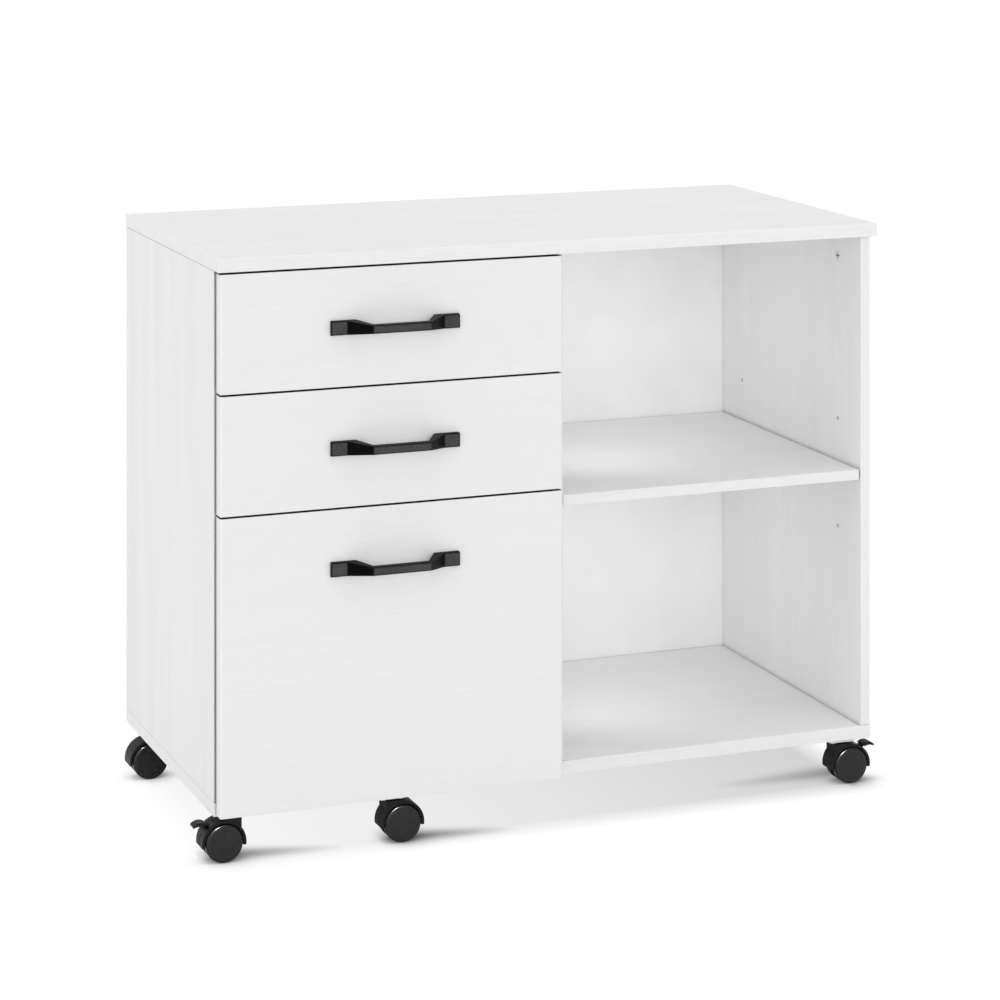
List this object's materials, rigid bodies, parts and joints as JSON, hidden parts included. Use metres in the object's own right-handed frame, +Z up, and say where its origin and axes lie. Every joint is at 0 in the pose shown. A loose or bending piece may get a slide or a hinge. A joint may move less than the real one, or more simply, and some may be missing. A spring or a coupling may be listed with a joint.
{
  "type": "rolling lateral pedestal cabinet",
  "caption": "White rolling cabinet with shallow drawers over a file drawer beside an open bay with an adjustable shelf, on swivel casters with brake levers in front.",
  "frame": {"origin": "on the floor, at the middle of the footprint, handles and brake levers included", "axes": "+Z up; drawer fronts and the open bay face -Y; +X to the viewer's right, from drawers to open bay"},
  "size_m": [0.8312, 0.427, 0.66],
  "materials": {
    "white_board": "white laminated board with a faint embossed woodgrain",
    "white_front": "white laminated drawer front, satin",
    "drawer_board": "white paper-foiled board",
    "hardboard": "thin white-faced fibreboard",
    "black_handle": "black satin",
    "zinc_steel": "zinc-plated steel",
    "black_nylon": "black moulded nylon",
    "black_wheel": "black moulded wheel",
    "pale_plastic": "pale moulded plastic"
  },
  "bodies": {
    "carcass": {"top_board": "white_board", "bottom_board": "white_board", "left_side_panel": "white_board", "right_side_panel": "white_board", "divider_panel": "white_board", "shelf": "white_board", "back_panel": "hardboard", "back_panel_nails": "zinc_steel", "shelf_pins": "zinc_steel", "cam_locks": "zinc_steel", "cam_bolts": "zinc_steel", "base_screws": "zinc_steel", "slide_outer_rails": "zinc_steel", "corner_caster_plates": "zinc_steel", "corner_caster_screws": "zinc_steel"},
    "top_drawer": {"top_drawer_front": "white_front", "top_drawer_box_sides": "drawer_board", "top_drawer_box_back": "drawer_board", "top_drawer_bottom": "hardboard", "top_drawer_handle": "black_handle", "top_drawer_handle_screws": "zinc_steel", "top_drawer_inner_rails": "zinc_steel"},
    "top_drawer_slide_middle": {"top_drawer_middle_rails": "zinc_steel"},
    "middle_drawer": {"middle_drawer_front": "white_front", "middle_drawer_box_sides": "drawer_board", "middle_drawer_box_back": "drawer_board", "middle_drawer_bottom": "hardboard", "middle_drawer_handle": "black_handle", "middle_drawer_handle_screws": "zinc_steel", "middle_drawer_inner_rails": "zinc_steel"},
    "middle_drawer_slide_middle": {"middle_drawer_middle_rails": "zinc_steel"},
    "file_drawer": {"file_drawer_front": "white_front", "file_drawer_box_sides": "drawer_board", "file_drawer_box_back": "drawer_board", "file_drawer_bottom": "hardboard", "file_drawer_handle": "black_handle", "file_drawer_handle_screws": "zinc_steel", "file_drawer_inner_rails": "zinc_steel", "file_drawer_folder_rails": "pale_plastic", "fifth_caster_block": "white_board", "fifth_caster_plate": "zinc_steel", "fifth_caster_screws": "zinc_steel"},
    "file_drawer_slide_middle": {"file_drawer_middle_rails": "zinc_steel"},
    "front_left_caster": {"front_left_caster_hood": "black_nylon", "front_left_caster_axle": "zinc_steel"},
    "front_left_caster_wheelset": {"front_left_caster_wheels": "black_wheel"},
    "front_left_caster_lever": {"front_left_caster_brake_lever": "black_nylon"},
    "front_right_caster": {"front_right_caster_hood": "black_nylon", "front_right_caster_axle": "zinc_steel"},
    "front_right_caster_wheelset": {"front_right_caster_wheels": "black_wheel"},
    "front_right_caster_lever": {"front_right_caster_brake_lever": "black_nylon"},
    "rear_left_caster": {"rear_left_caster_hood": "black_nylon", "rear_left_caster_axle": "zinc_steel"},
    "rear_left_caster_wheelset": {"rear_left_caster_wheels": "black_wheel"},
    "rear_right_caster": {"rear_right_caster_hood": "black_nylon", "rear_right_caster_axle": "zinc_steel"},
    "rear_right_caster_wheelset": {"rear_right_caster_wheels": "black_wheel"},
    "fifth_caster": {"fifth_caster_hood": "black_nylon", "fifth_caster_axle": "zinc_steel"},
    "fifth_caster_wheelset": {"fifth_caster_wheels": "black_wheel"}
  },
  "joints": [
    {"name": "top_drawer_slide", "type": "slide", "parent": "carcass", "child": "top_drawer", "axis": [0, -1, 0], "range_m": [0, 0.35]},
    {"name": "top_drawer_middle_slide", "type": "slide", "parent": "carcass", "child": "top_drawer_slide_middle", "axis": [0, -1, 0], "range_m": [0, 0.175]},
    {"name": "middle_drawer_slide", "type": "slide", "parent": "carcass", "child": "middle_drawer", "axis": [0, -1, 0], "range_m": [0, 0.35]},
    {"name": "middle_drawer_middle_slide", "type": "slide", "parent": "carcass", "child": "middle_drawer_slide_middle", "axis": [0, -1, 0], "range_m": [0, 0.175]},
    {"name": "file_drawer_slide", "type": "slide", "parent": "carcass", "child": "file_drawer", "axis": [0, -1, 0], "range_m": [0, 0.35]},
    {"name": "file_drawer_middle_slide", "type": "slide", "parent": "carcass", "child": "file_drawer_slide_middle", "axis": [0, -1, 0], "range_m": [0, 0.175]},
    {"name": "front_left_caster_swivel", "type": "hinge", "parent": "carcass", "child": "front_left_caster", "pos_m": [-0.369, -0.152, 0.05], "axis": [0, 0, 1], "continuous": true},
    {"name": "front_left_caster_roll", "type": "hinge", "parent": "front_left_caster", "child": "front_left_caster_wheelset", "pos_m": [-0.382, -0.152, 0.021], "axis": [0, 1, 0], "continuous": true},
    {"name": "front_left_caster_brake", "type": "hinge", "parent": "front_left_caster", "child": "front_left_caster_lever", "pos_m": [-0.39862, -0.152, 0.03762], "axis": [0, -1, 0], "range_deg": [0, 18]},
    {"name": "front_right_caster_swivel", "type": "hinge", "parent": "carcass", "child": "front_right_caster", "pos_m": [0.369, -0.152, 0.05], "axis": [0, 0, 1], "continuous": true},
    {"name": "front_right_caster_roll", "type": "hinge", "parent": "front_right_caster", "child": "front_right_caster_wheelset", "pos_m": [0.382, -0.152, 0.021], "axis": [0, 1, 0], "continuous": true},
    {"name": "front_right_caster_brake", "type": "hinge", "parent": "front_right_caster", "child": "front_right_caster_lever", "pos_m": [0.39862, -0.152, 0.03762], "axis": [0, 1, 0], "range_deg": [0, 18]},
    {"name": "rear_left_caster_swivel", "type": "hinge", "parent": "carcass", "child": "rear_left_caster", "pos_m": [-0.369, 0.1605, 0.05], "axis": [0, 0, 1], "continuous": true},
    {"name": "rear_left_caster_roll", "type": "hinge", "parent": "rear_left_caster", "child": "rear_left_caster_wheelset", "pos_m": [-0.382, 0.1605, 0.021], "axis": [0, 1, 0], "continuous": true},
    {"name": "rear_right_caster_swivel", "type": "hinge", "parent": "carcass", "child": "rear_right_caster", "pos_m": [0.369, 0.1605, 0.05], "axis": [0, 0, 1], "continuous": true},
    {"name": "rear_right_caster_roll", "type": "hinge", "parent": "rear_right_caster", "child": "rear_right_caster_wheelset", "pos_m": [0.382, 0.1605, 0.021], "axis": [0, 1, 0], "continuous": true},
    {"name": "fifth_caster_swivel", "type": "hinge", "parent": "file_drawer", "child": "fifth_caster", "pos_m": [-0.1915, -0.1585, 0.05], "axis": [0, 0, 1], "continuous": true},
    {"name": "fifth_caster_roll", "type": "hinge", "parent": "fifth_caster", "child": "fifth_caster_wheelset", "pos_m": [-0.1785, -0.1585, 0.021], "axis": [0, 1, 0], "continuous": true}
  ],
  "couplings": [
    {"joint": "top_drawer_middle_slide", "follows": "top_drawer_slide", "ratio": 0.5},
    {"joint": "middle_drawer_middle_slide", "follows": "middle_drawer_slide", "ratio": 0.5},
    {"joint": "file_drawer_middle_slide", "follows": "file_drawer_slide", "ratio": 0.5}
  ]
}
